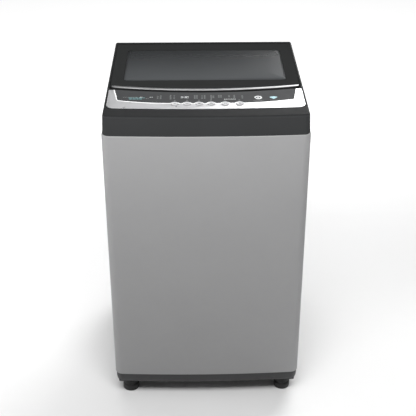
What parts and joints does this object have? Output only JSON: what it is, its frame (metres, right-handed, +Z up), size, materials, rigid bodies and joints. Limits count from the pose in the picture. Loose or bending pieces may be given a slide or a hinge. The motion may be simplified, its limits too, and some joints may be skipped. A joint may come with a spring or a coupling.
{
  "type": "top load washing machine",
  "caption": "Top load washing machine with a glass-windowed rear-hinged lid, front control panel, hung tub, spinning basket and belt-driven pulsator.",
  "frame": {"origin": "on the floor under the centre of the machine's overall box", "axes": "+Z up, -Y towards the user at the front, +X to the user's right"},
  "size_m": [0.56, 0.5599, 0.9592],
  "materials": {
    "cabinet_paint": "silver-grey metallic paint, satin",
    "rear_steel": "galvanised sheet, matt",
    "screw_steel": "zinc plated",
    "base_plastic": "charcoal moulded plastic",
    "cover_plastic": "charcoal moulded plastic, satin",
    "lid_plastic": "dark moulded plastic, semi-gloss",
    "panel_silver": "silver lacquered plastic",
    "panel_dark": "dark printed film",
    "lens_dark": "dark tinted window",
    "button_silver": "silver coated plastic",
    "chrome": "bright plated",
    "smoked_glass": "smoked tempered glass",
    "white_plastic": "off-white moulded plastic",
    "grey_plastic": "grey moulded plastic",
    "tub_plastic": "light grey polypropylene",
    "board_green": "circuit board with parts",
    "stainless": "pierced stainless sheet",
    "steel": "machined steel",
    "cast_alloy": "die-cast",
    "black_rubber": "moulded rubber",
    "motor_paint": "grey enamel"
  },
  "bodies": {
    "cabinet": {"cabinet": "cabinet_paint", "rear_panel": "rear_steel", "rear_screws": "screw_steel", "cord_gland": "black_rubber", "base_frame": "base_plastic", "foot_nuts": "screw_steel", "top_cover": "cover_plastic", "hinge_pins": "screw_steel", "control_fascia": "panel_silver", "control_overlay": "panel_dark", "display_lens": "lens_dark", "control_board": "board_green", "lid_lock_case": "white_plastic", "drawer_housing": "grey_plastic", "inlet_hose": "black_rubber", "inlet_valve": "white_plastic", "level_sensor": "grey_plastic", "rod_hangers": "screw_steel", "suspension_rods": "steel", "suspension_springs": "steel"},
    "lid": {"lid_frame": "lid_plastic", "lid_trim": "chrome", "lid_glass": "smoked_glass"},
    "lid_lock": {"lid_lock_bolt": "grey_plastic"},
    "drawer": {"detergent_drawer": "white_plastic"},
    "tub": {"outer_tub": "tub_plastic", "tub_cover": "tub_plastic", "bearing_housing": "cast_alloy", "shaft_bearings": "steel", "tub_seal": "black_rubber", "motor_bracket": "screw_steel", "motor_case": "motor_paint", "drive_belt": "black_rubber", "drain_valve": "grey_plastic"},
    "basket": {"basket": "stainless", "balance_ring": "grey_plastic", "basket_hub": "cast_alloy", "hollow_shaft": "steel"},
    "filter": {"lint_filter": "grey_plastic"},
    "pulsator": {"pulsator": "grey_plastic", "pulsator_screw": "screw_steel", "inner_shaft": "steel", "drive_pulley": "cast_alloy", "pulley_nut": "screw_steel"},
    "motor": {"motor_pulley": "cast_alloy", "motor_rotor": "steel"},
    "button_1": {"button_1": "button_silver"},
    "button_2": {"button_2": "button_silver"},
    "button_3": {"button_3": "button_silver"},
    "button_4": {"button_4": "button_silver"},
    "button_5": {"button_5": "button_silver"},
    "button_6": {"button_6": "button_silver"},
    "foot_rear_right": {"foot_rear_right": "black_rubber"},
    "foot_rear_left": {"foot_rear_left": "black_rubber"},
    "foot_front_left": {"foot_front_left": "black_rubber"},
    "foot_front_right": {"foot_front_right": "black_rubber"}
  },
  "joints": [
    {"name": "lid_hinge", "type": "hinge", "parent": "cabinet", "child": "lid", "pos_m": [0, 0.24779, 0.94799], "axis": [-1, 0, 0], "range_deg": [0, 96]},
    {"name": "lid_lock_slide", "type": "slide", "parent": "cabinet", "child": "lid_lock", "axis": [0, -0.9984, -0.0558], "range_m": [0, 0.019]},
    {"name": "drawer_slide", "type": "slide", "parent": "cabinet", "child": "drawer", "axis": [0, 1, 0], "range_m": [0, 0.085]},
    {"name": "tub_bounce", "type": "slide", "parent": "cabinet", "child": "tub", "axis": [0, 0, 1], "range_m": [-0.015, 0.006], "stiffness_N_per_m": 12000, "springref_m": 0.02166, "deforming": ["suspension_springs"]},
    {"name": "basket_spin", "type": "hinge", "parent": "tub", "child": "basket", "pos_m": [0, 0.004, 0.2], "axis": [0, 0, 1], "continuous": true},
    {"name": "pulsator_spin", "type": "hinge", "parent": "tub", "child": "pulsator", "pos_m": [0, 0.004, 0.2], "axis": [0, 0, 1], "continuous": true},
    {"name": "motor_spin", "type": "hinge", "parent": "tub", "child": "motor", "pos_m": [0, 0.169, 0.15], "axis": [0, 0, 1], "continuous": true},
    {"name": "filter_pull", "type": "slide", "parent": "basket", "child": "filter", "axis": [-1, 0, 0], "range_m": [0, 0.025]},
    {"name": "press_1", "type": "slide", "parent": "cabinet", "child": "button_1", "axis": [0, 0.0558, -0.9984], "range_m": [0, 0.0015], "stiffness_N_per_m": 600, "springref_m": -0.0005},
    {"name": "press_2", "type": "slide", "parent": "cabinet", "child": "button_2", "axis": [0, 0.0558, -0.9984], "range_m": [0, 0.0015], "stiffness_N_per_m": 600, "springref_m": -0.0005},
    {"name": "press_3", "type": "slide", "parent": "cabinet", "child": "button_3", "axis": [0, 0.0558, -0.9984], "range_m": [0, 0.0015], "stiffness_N_per_m": 600, "springref_m": -0.0005},
    {"name": "press_4", "type": "slide", "parent": "cabinet", "child": "button_4", "axis": [0, 0.0558, -0.9984], "range_m": [0, 0.0015], "stiffness_N_per_m": 600, "springref_m": -0.0005},
    {"name": "press_5", "type": "slide", "parent": "cabinet", "child": "button_5", "axis": [0, 0.0558, -0.9984], "range_m": [0, 0.0015], "stiffness_N_per_m": 600, "springref_m": -0.0005},
    {"name": "press_6", "type": "slide", "parent": "cabinet", "child": "button_6", "axis": [0, 0.0558, -0.9984], "range_m": [0, 0.0015], "stiffness_N_per_m": 600, "springref_m": -0.0005},
    {"name": "level_rear_right", "type": "slide", "parent": "cabinet", "child": "foot_rear_right", "axis": [0, 0, 1], "range_m": [0, 0.008]},
    {"name": "level_rear_left", "type": "slide", "parent": "cabinet", "child": "foot_rear_left", "axis": [0, 0, 1], "range_m": [0, 0.008]},
    {"name": "level_front_left", "type": "slide", "parent": "cabinet", "child": "foot_front_left", "axis": [0, 0, 1], "range_m": [0, 0.008]},
    {"name": "level_front_right", "type": "slide", "parent": "cabinet", "child": "foot_front_right", "axis": [0, 0, 1], "range_m": [0, 0.008]}
  ],
  "couplings": [
    {"joint": "motor_spin", "follows": "pulsator_spin", "ratio": 3}
  ]
}
